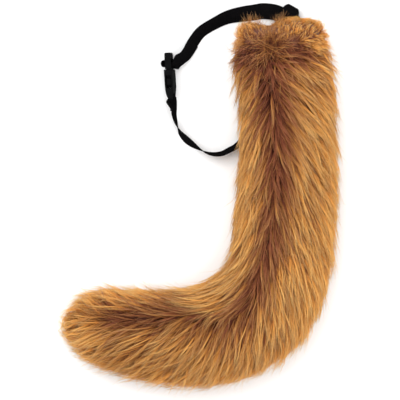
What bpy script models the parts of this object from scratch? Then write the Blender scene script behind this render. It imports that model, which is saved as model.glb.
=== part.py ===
"""A faux fur fox tail lying on a table, with the elastic belt that it is worn on.

The tail is a stuffed tube of long-pile fur fabric: a straight shaft, a bend and a
blunt tip. The belt is a flat black band that runs through a webbing loop at the
tail's root, passes under the tail, twists once on its way and closes in a
side-release buckle that stands on its long edge.

Metres, +Z up. The layout is drawn from the tail's root: -Y runs down the shaft and
-X runs towards the buckle. At the end everything is moved so that the origin is at
the middle of the bounding box, on the table.
"""

import math
import random
from collections import namedtuple

import bmesh
import bpy
from mathutils import Matrix, Vector

# The stuffed tail
TAIL_LENGTH = 0.636  # along its middle line, root to tip
TAIL_WIDTH = 0.130  # across the pile, halfway down the shaft
TAIL_HEIGHT = 0.102  # before the underside is pressed flat
PRESSED_EDGE_LOW = 0.006  # the pile starts to press down this far above the table
PRESSED_EDGE_HIGH = 0.022  # and stands freely above this height
PLUMPNESS = 2.25  # exponent of the section: 2 is an ellipse, more is squarer

# The pile, in locks
LOCK_PITCH = 0.0265  # from one row of locks to the next
LOCKS_ROUND = 12
LOCK_RELIEF = 0.0075  # how far a lock's tip stands off the pile under it
LOCK_OVERHANG = 0.55  # share of the pitch that a tip laps over the next row
LOCK_NOTCH = 0.35  # share of the pitch that a gap between locks is cut back
SWEEP = math.radians(9)  # how far a row's tips turn away from the parting
PARTING = math.radians(107)  # where the parting runs, round the section
ROOT_CAP = 0.040  # share of the length before the first row of locks
TIP_CAP = 0.968  # share of the length where the last row starts
ROOT_HUMP = 0.0085  # the root end's highest bulge

# The belt
BAND_WIDTH = 0.020
BAND_THICKNESS = 0.0012
BAND_GAP = 0.0003  # between two layers, and round what passes close
BELT_SPREAD = 0.141  # from the tail's middle out to the buckle
BELT_DROP = 0.170  # from the tail's root down to the belt's lowest bight
FREE_END = 0.026  # the threaded end that lies back along the band
FREE_JOIN = 0.024  # how far from the plug's bar it comes to lie there
SEWN_END = 0.012  # the sewn end at the socket
SEWN_JOIN = 0.009  # how far past the socket it comes to lie on the band
BAND_STEP = 0.0035  # between two sections of the band

# The webbing loop at the root
LOOP_HEIGHT = 0.0120
LOOP_TURN = 0.003  # radius of its folded corners
LOOP_SEAT_LOW = 0.024  # how far the lower layer runs in under the tail
LOOP_SEAT_HIGH = 0.018  # how far the upper layer is sewn into the root
LOOP_RISE = 0.010  # how much the upper layer climbs on its way in
LOOP_CLEARANCE = 0.0018  # inside the loop, past the band's edge
LOOP_HEADING = math.radians(-29)  # how the band runs where it passes through

# The buckle, for this width of band
BUCKLE_THICKNESS = 0.0105
BUCKLE_CHEEK = 0.0028  # a side wall past the band's slot
SLOT_MARGIN = 0.0010  # each side of the band in its slot
SOCKET_LENGTH = 0.037
SOCKET_WALL = 0.0018
WINDOW_LENGTH = 0.016
SOCKET_SLOT = 0.0038
SOCKET_BAR = 0.0032
SOCKET_BAR_THICKNESS = 0.0040
PLUG_BASE = 0.0017
PLUG_THICKNESS = 0.0076
PLUG_BAR = 0.0035
PLUG_SLOT_LOW = 0.0038
PLUG_SLOT_HIGH = 0.0043
PLUG_LIP = 0.0075
PRONG_WIDTH = 0.0026
PRONG_THICKNESS = 0.0048
BUCKLE_GAP = 0.0003
BUCKLE_TURN = math.radians(3.7)  # seen from above, off the shaft's direction
BUCKLE_LEAN = math.radians(7.5)  # off the vertical, on its long edge
THREADED_BEND = 0.0039  # radius of the slack bend round the plug's bar

Section = namedtuple("Section", "along heading width height rise")
# along is a share of TAIL_LENGTH, heading is in degrees off straight down the
# shaft, width and height are shares of TAIL_WIDTH and TAIL_HEIGHT, and rise is
# the middle line's height, as a share of TAIL_HEIGHT.
TAIL_SECTIONS = (
    Section(0.000, -3.9, 0.00, 0.00, 0.360),
    Section(0.012, -3.9, 0.74, 0.62, 0.360),
    Section(0.025, -3.8, 0.86, 0.80, 0.360),
    Section(0.045, -3.6, 0.91, 0.92, 0.362),
    Section(0.080, -3.4, 0.98, 0.98, 0.365),
    Section(0.125, -3.0, 1.00, 1.00, 0.365),
    Section(0.200, -2.2, 0.99, 1.00, 0.365),
    Section(0.275, -1.0, 0.99, 0.99, 0.360),
    Section(0.325, 0.3, 0.99, 0.98, 0.355),
    Section(0.375, 2.6, 1.00, 0.98, 0.355),
    Section(0.425, 6.4, 1.03, 0.98, 0.355),
    Section(0.475, 12.6, 1.06, 0.98, 0.355),
    Section(0.525, 23.0, 1.07, 0.98, 0.355),
    Section(0.575, 38.0, 1.10, 0.98, 0.355),
    Section(0.625, 55.5, 1.11, 0.98, 0.355),
    Section(0.675, 70.5, 1.07, 0.97, 0.350),
    Section(0.725, 82.5, 1.02, 0.95, 0.340),
    Section(0.775, 92.0, 0.98, 0.92, 0.325),
    Section(0.825, 98.5, 0.93, 0.90, 0.315),
    Section(0.865, 101.5, 0.91, 0.86, 0.295),
    Section(0.900, 102.3, 0.83, 0.78, 0.260),
    Section(0.930, 101.0, 0.74, 0.68, 0.215),
    Section(0.955, 98.0, 0.62, 0.54, 0.175),
    Section(0.980, 93.0, 0.39, 0.34, 0.150),
    Section(1.000, 88.0, 0.00, 0.00, 0.140),
)

Hump = namedtuple("Hump", "across stands")
# The outline of the root end: across is a share of the half width, and stands a
# share of ROOT_HUMP.
ROOT_HUMPS = (
    Hump(-1.00, 0.00),
    Hump(-0.75, 0.45),
    Hump(-0.35, -0.45),
    Hump(0.10, 0.80),
    Hump(0.35, 1.00),
    Hump(0.70, 0.35),
    Hump(1.00, 0.00),
)

Bend = namedtuple("Bend", "across down roll lift")
# The belt's middle line from the plug to the socket: across is a share of
# BELT_SPREAD from the root towards the buckle, down a share of BELT_DROP, roll
# the band's turn in degrees, 0 lying flat and 90 on edge, and lift its height
# over the table in thicknesses of the band.
BELT_ROUTE = (
    Bend(0.856, 0.273, 57, 1.6),
    Bend(0.776, 0.188, 54, 0.3),
    Bend(0.699, 0.116, 56, 0.0),
    Bend(0.567, 0.051, 50, 0.0),
    Bend(0.461, 0.004, 45, 0.0),
    Bend(0.332, -0.026, 27, 0.0),
    Bend(0.248, -0.036, 16, 0.0),
    Bend(0.163, -0.045, 4, 0.5),
    Bend(0.071, -0.038, 0, 1.4),
    Bend(0.004, -0.019, 0, 1.4),
    Bend(-0.056, 0.001, 4, 1.4),
    Bend(-0.111, 0.036, 14, 1.4),
    Bend(-0.155, 0.089, 28, 1.4),
    Bend(-0.168, 0.162, 30, 0.7),
    Bend(-0.146, 0.254, 16, 0.0),
    Bend(-0.093, 0.365, 2, 0.0),
    Bend(0.000, 0.519, 0, 0.0),
    Bend(0.115, 0.666, 0, 0.0),
    Bend(0.239, 0.806, 6, 0.0),
    Bend(0.332, 0.896, 34, 0.0),
    Bend(0.399, 0.940, 62, 0.0),
    Bend(0.461, 0.975, 71, 0.0),
    Bend(0.523, 0.996, 75, 0.0),
    Bend(0.585, 1.004, 78, 0.0),
    Bend(0.647, 0.998, 82, 0.0),
    Bend(0.696, 0.980, 90, 0.0),
    Bend(0.745, 0.956, 101, 0.0),
    Bend(0.795, 0.927, 111, 0.0),
    Bend(0.842, 0.894, 113, 0.0),
    Bend(0.887, 0.854, 104, 0.0),
    Bend(0.915, 0.813, 97, 0.0),
    Bend(0.929, 0.769, 92, 0.8),
    Bend(0.938, 0.718, 88, 2.4),
)
BUCKLE_ACROSS = 0.990  # the buckle's middle, as a share of BELT_SPREAD
BUCKLE_DOWN = 0.434  # the buckle's middle, as a share of BELT_DROP
LOOP_ACROSS, LOOP_DOWN = -0.056, 0.001  # where the webbing loop takes the band

FUR_COLOUR = (0.45, 0.19, 0.06)
BLACK_COLOUR = (0.012, 0.012, 0.013)

SLOT_HALF = BAND_WIDTH / 2 + SLOT_MARGIN
BUCKLE_HALF_WIDTH = SLOT_HALF + BUCKLE_CHEEK + SOCKET_WALL
BUCKLE_LENGTH = (
    SOCKET_LENGTH + BUCKLE_GAP + PLUG_BASE + PLUG_SLOT_LOW + PLUG_BAR + PLUG_SLOT_HIGH + PLUG_LIP
)
SOCKET_END = -BUCKLE_LENGTH / 2
SOCKET_MOUTH = SOCKET_END + SOCKET_LENGTH
PLUG_START = SOCKET_MOUTH + BUCKLE_GAP
PLUG_BAR_MIDDLE = PLUG_START + PLUG_BASE + PLUG_SLOT_LOW + PLUG_BAR / 2
PLUG_LIP_START = PLUG_BAR_MIDDLE + PLUG_BAR / 2 + PLUG_SLOT_HIGH
SOCKET_BAR_MIDDLE = SOCKET_END + SOCKET_BAR / 2
SOCKET_BAR_OFFSET = 0.0012  # the bar lies nearer to the buckle's straight side


def clear_scene():
    for old in list(bpy.data.objects):
        bpy.data.objects.remove(old, do_unlink=True)


def make_material(name, colour, roughness):
    made = bpy.data.materials.new(name)
    made.use_nodes = True
    shader = made.node_tree.nodes["Principled BSDF"]
    shader.inputs["Base Color"].default_value = (*colour, 1.0)
    shader.inputs["Roughness"].default_value = roughness
    return made


def make_object(name, points, faces, material):
    """An object from points and faces, with its faces turned outwards."""
    mesh = bpy.data.meshes.new(name)
    mesh.from_pydata([tuple(p) for p in points], [], faces)
    shaped = bmesh.new()
    shaped.from_mesh(mesh)
    bmesh.ops.recalc_face_normals(shaped, faces=shaped.faces)
    shaped.to_mesh(mesh)
    shaped.free()
    made = bpy.data.objects.new(name, mesh)
    bpy.context.scene.collection.objects.link(made)
    made.data.materials.append(material)
    return made


def as_cutter(cutter):
    cutter.hide_render = True
    cutter.display_type = "WIRE"
    return cutter


def cut(target, cutter):
    step = target.modifiers.new("cut_" + cutter.name, "BOOLEAN")
    step.operation = "DIFFERENCE"
    step.solver = "EXACT"
    step.object = as_cutter(cutter)


def read(rows, key, column, at):
    """A column of a table at a place between its rows, on a smooth curve."""
    places = [getattr(row, key) for row in rows]
    values = [getattr(row, column) for row in rows]
    last = len(rows) - 1
    i = max(0, min(last - 1, sum(place <= at for place in places) - 1))
    span = places[i + 1] - places[i]
    t = max(0.0, min(1.0, (at - places[i]) / span))

    def slope(k):
        low, high = max(0, k - 1), min(last, k + 1)
        return (values[high] - values[low]) / (places[high] - places[low])

    a, b = values[i], values[i + 1]
    da, db = slope(i) * span, slope(i + 1) * span
    return a + da * t + (3 * (b - a) - 2 * da - db) * t**2 + (2 * (a - b) + da + db) * t**3


def smooth_step(low, high, value):
    t = max(0.0, min(1.0, (value - low) / (high - low)))
    return t * t * (3 - 2 * t)


class MiddleLine:
    """The tail's middle line on the table, from its heading at each section."""

    STEPS = 400

    def __init__(self):
        step = TAIL_LENGTH / self.STEPS
        point = Vector((0.0, 0.0, 0.0))
        self.points = [point.copy()]
        for i in range(self.STEPS):
            point = point + self.forward((i + 0.5) / self.STEPS) * step
            self.points.append(point)

    @staticmethod
    def heading(along):
        return math.radians(read(TAIL_SECTIONS, "along", "heading", along))

    def forward(self, along):
        turn = self.heading(along)
        return Vector((-math.sin(turn), -math.cos(turn), 0.0))

    def outward(self, along):
        """Square to the line, towards the outer side of the bend."""
        turn = self.heading(along)
        return Vector((math.cos(turn), -math.sin(turn), 0.0))

    def point(self, along):
        at = max(0.0, min(1.0, along)) * self.STEPS
        i = min(int(at), self.STEPS - 1)
        return self.points[i].lerp(self.points[i + 1], at - i)


def rounded(value):
    """One coordinate of the plump section, from a cosine or a sine."""
    return math.copysign(abs(value) ** (2 / PLUMPNESS), value)


def pile_point(line, along, angle, stands):
    """A point of the pile: stands is its height over the section's outline."""
    half_width = read(TAIL_SECTIONS, "along", "width", along) * TAIL_WIDTH / 2
    half_height = read(TAIL_SECTIONS, "along", "height", along) * TAIL_HEIGHT / 2
    middle = read(TAIL_SECTIONS, "along", "rise", along) * TAIL_HEIGHT
    across = rounded(math.cos(angle)) * max(0.0, half_width - LOCK_RELIEF + stands)
    up = rounded(math.sin(angle)) * max(0.0, half_height - LOCK_RELIEF + stands)
    place = line.point(along) + line.outward(along) * across
    share = across / max(half_width, LOCK_RELIEF)
    hump = read(ROOT_HUMPS, "across", "stands", max(-1.0, min(1.0, share))) * ROOT_HUMP
    place -= line.forward(along) * hump * (1 - smooth_step(0.0, 2 * ROOT_CAP, along))
    place.z = max(0.0, middle + up)
    return place


def freedom(angle, along):
    """0 where the pile is pressed on the table, 1 where it stands freely."""
    half_height = read(TAIL_SECTIONS, "along", "height", along) * TAIL_HEIGHT / 2
    middle = read(TAIL_SECTIONS, "along", "rise", along) * TAIL_HEIGHT
    height = middle + rounded(math.sin(angle)) * half_height
    return smooth_step(PRESSED_EDGE_LOW, PRESSED_EDGE_HIGH, height)


def lock_rows():
    """The rings of the pile: for each, a function of (column, angle)."""
    draw = random.Random(7)
    rows = max(2, round((TIP_CAP - ROOT_CAP) * TAIL_LENGTH / LOCK_PITCH))
    pitch = (TIP_CAP - ROOT_CAP) / rows
    shape = (0.0, 0.6, 1.0, 0.6)  # across one lock, from gap to tip and back
    rings = []
    for row in range(rows):
        start = ROOT_CAP + row * pitch
        reach = [draw.uniform(0.75, 1.1) for _ in range(LOCKS_ROUND)]
        stand = [draw.uniform(0.7, 1.15) for _ in range(LOCKS_ROUND)]
        shift = 2 * (row % 2)

        def crest(column, angle, start=start, reach=reach, stand=stand, shift=shift):
            lock, part = divmod((column + shift) % (4 * LOCKS_ROUND), 4)
            free = freedom(angle, start + pitch)
            lap = (LOCK_NOTCH + LOCK_OVERHANG) * shape[part] * reach[lock] - LOCK_NOTCH
            lap = lap * free - LOCK_NOTCH * (1 - free)
            height = LOCK_RELIEF * (0.15 + 0.85 * shape[part]) * stand[lock] * free
            turned = angle - SWEEP * math.cos(angle - PARTING + math.pi / 2) * free
            return start + pitch * (1 + lap), turned, height

        def middle(column, angle, start=start, crest=crest):
            along, turned, height = crest(column, angle)
            return (start + along) / 2, (angle + turned) / 2, height * 0.8

        def root(column, angle, start=start):
            return start, angle, 0.0

        rings += [root, middle, crest]
    return rings


def build_fur_tail(line, material):
    columns = 4 * LOCKS_ROUND
    smooth = ((0.006, 0.55), (0.016, 0.50), (0.029, 0.30))
    plain = [lambda c, a, at=at, up=up: (at, a, LOCK_RELIEF * up) for at, up in smooth]
    closing = [lambda c, a, at=at: (at, a, 0.0) for at in (TIP_CAP, (1 + TIP_CAP) / 2)]
    rings = plain + lock_rows() + closing
    points = []
    for ring in rings:
        for column in range(columns):
            angle = 2 * math.pi * column / columns
            along, turned, stands = ring(column, angle)
            points.append(pile_point(line, min(along, 0.998), turned, stands))
    faces = []
    for i in range(len(rings) - 1):
        for j in range(columns):
            k = (j + 1) % columns
            here, there = i * columns, (i + 1) * columns
            faces.append((here + j, there + j, there + k, here + k))
    root_pole, tip_pole = len(points), len(points) + 1
    points += [pile_point(line, 0.0, 0.0, 0.0), pile_point(line, 1.0, 0.0, 0.0)]
    last = (len(rings) - 1) * columns
    for j in range(columns):
        k = (j + 1) % columns
        faces.append((j, k, root_pole))
        faces.append((last + k, last + j, tip_pole))
    return make_object("fur_tail", points, faces, material)


def band(name, stations, width, thickness, material):
    """A flat band through stations of (middle, direction of its width)."""
    points = []
    last = len(stations) - 1
    for i, (middle, side) in enumerate(stations):
        ahead = stations[min(i + 1, last)][0] - stations[max(i - 1, 0)][0]
        face = ahead.cross(side).normalized()
        for across, up in ((-1, -1), (1, -1), (1, 1), (-1, 1)):
            points.append(middle + side * across * width / 2 + face * up * thickness / 2)
    faces = [(3, 2, 1, 0), tuple(4 * last + k for k in range(4))]
    for i in range(last):
        for k in range(4):
            m = (k + 1) % 4
            faces.append((4 * i + k, 4 * i + m, 4 * i + 4 + m))
            faces.append((4 * i + k, 4 * i + 4 + m, 4 * i + 4 + k))
    return make_object(name, points, faces, material)


def through(controls, step):
    """Stations a step apart on a smooth curve through (middle, side, lift)."""
    found = []
    last = len(controls) - 1
    for i in range(last):
        around = [controls[max(0, min(last, k))] for k in (i - 1, i, i + 1, i + 2)]
        length = (controls[i + 1][0] - controls[i][0]).length
        count = max(1, round(length / step))
        for n in range(count):
            t = n / count
            weights = (
                (-t + 2 * t**2 - t**3) / 2,
                (2 - 5 * t**2 + 3 * t**3) / 2,
                (t + 4 * t**2 - 3 * t**3) / 2,
                (t**3 - t**2) / 2,
            )
            middle = sum((c[0] * w for c, w in zip(around, weights)), Vector((0, 0, 0)))
            side = sum((c[1] * w for c, w in zip(around, weights)), Vector((0, 0, 0)))
            lift = sum(c[2] * w for c, w in zip(around, weights))
            found.append((middle, side.normalized(), max(0.0, lift)))
    found.append(controls[-1])
    return found


def set_down(stations):
    """Puts each station's lowest corner at its lift over the table."""
    placed = []
    last = len(stations) - 1
    for i, (middle, side, lift) in enumerate(stations):
        ahead = stations[min(i + 1, last)][0] - stations[max(i - 1, 0)][0]
        ahead.z = 0.0
        face = ahead.cross(side).normalized()
        reach = abs(side.z) * BAND_WIDTH / 2 + abs(face.z) * BAND_THICKNESS / 2
        placed.append((Vector((middle.x, middle.y, lift + reach)), side))
    return placed


def from_root(across, down):
    return Vector((-across * BELT_SPREAD, -down * BELT_DROP, 0.0))


def buckle_frame():
    """Where the buckle stands: x is its thickness, y its length, z its width."""
    turn = Matrix.Rotation(BUCKLE_TURN, 4, "Z") @ Matrix.Rotation(-BUCKLE_LEAN, 4, "Y")
    low = BUCKLE_HALF_WIDTH * math.cos(BUCKLE_LEAN)
    low += BUCKLE_THICKNESS / 2 * math.sin(BUCKLE_LEAN)
    place = from_root(BUCKLE_ACROSS, BUCKLE_DOWN)
    place.z = low
    return Matrix.Translation(place) @ turn


def in_buckle(frame, offset, length):
    """A station on the buckle's own middle plane."""
    middle = frame @ Vector((offset, length, 0.0))
    side = frame.to_3x3() @ Vector((0.0, 0.0, 1.0))
    lift = middle.z - BAND_WIDTH / 2 * side.z
    return middle, side, lift


def route_controls(before, after):
    """The belt's free run between two stations that the buckle sets."""
    places = [from_root(bend.across, bend.down) for bend in BELT_ROUTE]
    around = [before] + places + [after]
    controls = []
    for i, bend in enumerate(BELT_ROUTE):
        ahead = (around[i + 2] - around[i]).normalized()
        left = Vector((-ahead.y, ahead.x, 0.0))
        roll = math.radians(bend.roll)
        side = left * math.cos(roll) + Vector((0, 0, math.sin(roll)))
        controls.append((places[i], side, bend.lift * BAND_THICKNESS))
    return controls


def beside(stations, offset):
    """The same stations moved off their face by an offset each."""
    moved = []
    last = len(stations) - 1
    for i, (middle, side) in enumerate(stations):
        ahead = stations[min(i + 1, last)][0] - stations[max(i - 1, 0)][0]
        face = ahead.cross(side).normalized()
        moved.append((middle + face * offset[i], side))
    return moved


def stretch(stations, start, length):
    """The stations between two lengths along them."""
    kept, gone = [], 0.0
    for before, here in zip(stations, stations[1:]):
        gone += (here[0] - before[0]).length
        if start < gone <= start + length:
            kept.append(here)
    return kept


def arc(frame, across, reach, at, first, last):
    """Stations round a bar, from one angle to another."""
    found = []
    for i in range(9):
        turn = math.radians(first + (last - first) * i / 8)
        spot = (across + reach * math.cos(turn), at + reach * math.sin(turn))
        found.append(in_buckle(frame, *spot)[:2])
    return found


def eased(stations, step):
    """Stations that are already in place, with a smooth curve between them."""
    return [found[:2] for found in through([(m, s, 0.0) for m, s in stations], step)]


def belt_stations(frame):
    """The belt's threaded end, its main run and its sewn end."""
    half = BUCKLE_THICKNESS / 2
    layer = BAND_THICKNESS + BAND_GAP
    slot_high = PLUG_BAR_MIDDLE + THREADED_BEND
    slot_low = PLUG_BAR_MIDDLE - THREADED_BEND
    bar_reach = math.hypot(SOCKET_BAR_THICKNESS, SOCKET_BAR) / 2 + BAND_GAP + BAND_THICKNESS / 2
    plug_side = [
        in_buckle(frame, -THREADED_BEND / 2, slot_high),
        in_buckle(frame, half, slot_high),
        in_buckle(frame, 2 * half, slot_high + half / 2),
    ]
    socket_side = [
        in_buckle(frame, SOCKET_BAR_OFFSET + layer / 2, SOCKET_END - SEWN_JOIN),
        in_buckle(frame, SOCKET_BAR_OFFSET + bar_reach, SOCKET_BAR_MIDDLE),
    ]
    free_run = route_controls(plug_side[-1][0], socket_side[0][0])
    laid = set_down(through(plug_side + free_run + socket_side, BAND_STEP))

    rests = stretch(laid, FREE_JOIN, FREE_END)
    joins = [
        in_buckle(frame, -THREADED_BEND / 2, slot_low)[:2],
        in_buckle(frame, half, slot_low)[:2],
        in_buckle(frame, 2 * half, slot_low + half / 3)[:2],
    ]
    free_end = eased(joins + beside(rests, [layer] * len(rests)), BAND_STEP)
    free_end.reverse()
    free_end += arc(frame, -THREADED_BEND, THREADED_BEND, PLUG_BAR_MIDDLE, -90, -270)

    back = list(reversed(laid))
    rests = stretch(back, SEWN_JOIN + SOCKET_BAR / 2, SEWN_END)
    sewn_end = arc(frame, SOCKET_BAR_OFFSET, bar_reach, SOCKET_BAR_MIDDLE, 20, 180)
    sewn_end += eased(sewn_end[-1:] + beside(rests, [layer] * len(rests)), BAND_STEP)[1:]
    return free_end, laid, sewn_end


def loop_stations(longer):
    """The webbing loop: in under the tail, out round the band and back in."""
    along = Vector((math.cos(LOOP_HEADING), math.sin(LOOP_HEADING), 0.0))
    out = Vector((-along.y, along.x, 0.0))
    centre = from_root(LOOP_ACROSS, LOOP_DOWN)
    low, high = BAND_THICKNESS / 2, LOOP_HEIGHT
    front = BAND_WIDTH / 2 + LOOP_CLEARANCE
    places = [(-LOOP_SEAT_LOW - longer, low), (-LOOP_SEAT_LOW / 2, low), (0.0, low)]
    for i in range(5):
        turn = math.radians(-90 + i * 90 / 4)
        places.append(
            (front - LOOP_TURN + LOOP_TURN * math.cos(turn), low + LOOP_TURN * (1 + math.sin(turn)))
        )
    for i in range(5):
        turn = math.radians(i * 90 / 4)
        places.append(
            (front - LOOP_TURN + LOOP_TURN * math.cos(turn), high + LOOP_TURN * (math.sin(turn) - 1))
        )
    places += [(0.0, high + LOOP_RISE / 3), (-LOOP_SEAT_HIGH - longer, high + LOOP_RISE)]
    return [(centre + out * q + Vector((0, 0, z)), along) for q, z in places]


def block(name, low, high, material):
    """A box between two corners."""
    corners = [(x, y, z) for x in (low[0], high[0]) for y in (low[1], high[1]) for z in (low[2], high[2])]
    faces = [(0, 1, 3, 2), (4, 6, 7, 5), (0, 4, 5, 1), (2, 3, 7, 6), (0, 2, 6, 4), (1, 5, 7, 3)]
    return make_object(name, corners, faces, material)


def prism(name, outline, low, high, axis, material):
    """An outline drawn square to one axis, run from low to high along it."""
    count = len(outline)

    def place(pair, level):
        spot = list(pair)
        spot.insert(axis, level)
        return spot

    points = [place(pair, low) for pair in outline] + [place(pair, high) for pair in outline]
    faces = [tuple(range(count)), tuple(range(2 * count - 1, count - 1, -1))]
    for i in range(count):
        j = (i + 1) % count
        faces.append((j, i, count + i, count + j))
    return make_object(name, points, faces, material)


def bevel(target, width):
    step = target.modifiers.new("rounded_edges", "BEVEL")
    step.width = width
    step.segments = 2
    step.limit_method = "ANGLE"
    step.angle_limit = math.radians(50)


def join_into(target, others):
    for other in others:
        step = target.modifiers.new("join_" + other.name, "BOOLEAN")
        step.operation = "UNION"
        step.solver = "EXACT"
        step.object = as_cutter(other)


def build_socket(material):
    """The hollow half: its back curves in towards the bar that the band is sewn on."""
    half = BUCKLE_THICKNESS / 2
    curve_start = SOCKET_END + SOCKET_LENGTH * 0.42
    bar_low = SOCKET_BAR_OFFSET - SOCKET_BAR_THICKNESS / 2
    bar_high = SOCKET_BAR_OFFSET + SOCKET_BAR_THICKNESS / 2
    outline = [(half, SOCKET_MOUTH), (half, curve_start), (bar_high, SOCKET_END)]
    for i in range(6):
        share = i / 5
        x = bar_low + (-half - bar_low) * math.sin(share * math.pi / 2)
        y = SOCKET_END + (curve_start - SOCKET_END) * (1 - math.cos(share * math.pi / 2))
        outline.append((x, y))
    outline.append((-half, SOCKET_MOUTH))
    socket = prism("buckle_socket", outline, -BUCKLE_HALF_WIDTH, BUCKLE_HALF_WIDTH, 2, material)
    bevel(socket, 0.0009)
    slot_low = SOCKET_END + SOCKET_BAR
    slot_high = slot_low + SOCKET_SLOT
    inner = half - SOCKET_WALL
    hollow_low = slot_high + SOCKET_WALL
    past = 0.001
    side = BUCKLE_HALF_WIDTH - SOCKET_WALL * 1.6
    window_high = SOCKET_MOUTH - SOCKET_LENGTH * 0.2
    cutters = (
        ("slot", (-2 * half, slot_low, -SLOT_HALF), (2 * half, slot_high, SLOT_HALF)),
        ("hollow", (-inner, hollow_low, -side), (inner, SOCKET_MOUTH + past, side)),
        (
            "bar_front",
            (-2 * half, SOCKET_END - past, -SLOT_HALF),
            (bar_low, slot_high, SLOT_HALF),
        ),
        (
            "bar_back",
            (bar_high, SOCKET_END - past, -SLOT_HALF),
            (2 * half, slot_high, SLOT_HALF),
        ),
        (
            "windows",
            (-inner, window_high - WINDOW_LENGTH, -BUCKLE_HALF_WIDTH - past),
            (inner, window_high, BUCKLE_HALF_WIDTH + past),
        ),
    )
    for name, low, high in cutters:
        cut(socket, block("socket_" + name, low, high, material))
    return socket


def build_plug(material):
    """The pronged half: two sprung arms with press tabs, a guide, and the bars."""
    half = PLUG_THICKNESS / 2
    cheek = SLOT_HALF + BUCKLE_CHEEK
    low, base_high = PLUG_START, PLUG_START + PLUG_BASE
    end = -SOCKET_END
    lip = half * 0.95
    outline = [
        (-half, low),
        (half, low),
        (half, PLUG_LIP_START - 0.001),
        (lip, PLUG_LIP_START + 0.001),
        (lip, end - 0.0012),
        (lip - 0.0012, end),
        (-lip + 0.0012, end),
        (-lip, end - 0.0012),
        (-lip, PLUG_LIP_START + 0.001),
        (-half, PLUG_LIP_START - 0.001),
    ]
    plug = prism("buckle_plug", outline, -cheek, cheek, 2, material)
    bevel(plug, 0.0006)
    bar_low, bar_high = PLUG_BAR_MIDDLE - PLUG_BAR / 2, PLUG_BAR_MIDDLE + PLUG_BAR / 2
    for name, slot_low, slot_high in (
        ("low_slot", base_high, bar_low),
        ("high_slot", bar_high, PLUG_LIP_START),
    ):
        corners = (-2 * half, slot_low, -SLOT_HALF), (2 * half, slot_high, SLOT_HALF)
        cut(plug, block("plug_" + name, *corners, material))
    for name, sign in (("front", -1), ("back", 1)):
        shaved = sorted((sign * PLUG_BAR / 2, sign * 2 * half))
        corners = (
            (shaved[0], bar_low - 0.0002, -SLOT_HALF + 0.0001),
            (shaved[1], bar_high + 0.0002, SLOT_HALF - 0.0001),
        )
        cut(plug, block("plug_bar_" + name, *corners, material))

    window_high = SOCKET_MOUTH - SOCKET_LENGTH * 0.2
    tab_high, tab_low = window_high - 0.0025, window_high - WINDOW_LENGTH + 0.0025
    arm_out = BUCKLE_HALF_WIDTH - SOCKET_WALL * 1.6 - 0.0018
    arm_in = arm_out - PRONG_WIDTH
    tab_out = BUCKLE_HALF_WIDTH - 0.0004
    root = low + PLUG_BASE / 2
    arm = [
        (root, arm_in),
        (root, arm_out),
        (tab_high, arm_out),
        (tab_high - 0.002, tab_out),
        (tab_low + 0.002, tab_out - 0.0006),
        (tab_low, arm_out),
        (tab_low - 0.002, arm_in),
    ]
    mirrored = [(y, -z) for y, z in reversed(arm)]
    thick = PRONG_THICKNESS / 2
    guide_low = tab_low + 0.002
    pieces = [
        prism("plug_arm_a", arm, -thick, thick, 0, material),
        prism("plug_arm_b", mirrored, -thick, thick, 0, material),
        block(
            "plug_guide",
            (-thick, guide_low, -PRONG_WIDTH / 2),
            (thick, root, PRONG_WIDTH / 2),
            material,
        ),
    ]
    join_into(plug, pieces)
    return plug


def lowest_and_highest(objects):
    """The corners of the box that holds these objects, as evaluated."""
    graph = bpy.context.evaluated_depsgraph_get()
    low, high = Vector((1e9,) * 3), Vector((-1e9,) * 3)
    for made in objects:
        evaluated = made.evaluated_get(graph)
        mesh = evaluated.to_mesh()
        for vertex in mesh.vertices:
            place = evaluated.matrix_world @ vertex.co
            low = Vector(map(min, low, place))
            high = Vector(map(max, high, place))
        evaluated.to_mesh_clear()
    return low, high


def main():
    clear_scene()
    fur = make_material("fur", FUR_COLOUR, 0.8)
    webbing = make_material("webbing", BLACK_COLOUR, 0.85)
    plastic = make_material("plastic", BLACK_COLOUR, 0.45)

    line = MiddleLine()
    tail = build_fur_tail(line, fur)

    frame = buckle_frame()
    free_end, laid, sewn_end = belt_stations(frame)
    belt = band("belt", free_end + laid + sewn_end, BAND_WIDTH, BAND_THICKNESS, webbing)
    wide = BAND_WIDTH + 2 * BAND_GAP
    thick = BAND_THICKNESS + 2 * BAND_GAP
    near_tail = laid[len(laid) // 8 : -len(laid) // 8]
    belt_room = band("belt_room", near_tail, wide, thick, webbing)

    loop = band("belt_loop", loop_stations(0.0), BAND_WIDTH, BAND_THICKNESS, webbing)
    loop_room = band("belt_loop_room", loop_stations(BAND_GAP), wide, thick, webbing)
    cut(tail, belt_room)
    cut(tail, loop_room)

    socket = build_socket(plastic)
    plug = build_plug(plastic)
    for half in (socket, plug):
        half.matrix_world = frame
    for helper in bpy.data.objects:
        if helper.name.startswith(("socket_", "plug_")):
            helper.matrix_world = frame

    root = bpy.data.objects.new("tail_and_belt", None)
    bpy.context.scene.collection.objects.link(root)
    for made in bpy.data.objects:
        if made is not root:
            made.parent = root
    bpy.context.view_layer.update()
    low, high = lowest_and_highest([tail, belt, loop, socket, plug])
    root.location = (-(low.x + high.x) / 2, -(low.y + high.y) / 2, -low.z)
    bpy.context.view_layer.update()


main()
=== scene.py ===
"""The fox tail as it looks: long golden pile over a stuffed body, on its elastic belt."""

import math

import bmesh
import bpy
import numpy as np
from mathutils import Matrix, Vector
from mathutils.bvhtree import BVHTree


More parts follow.
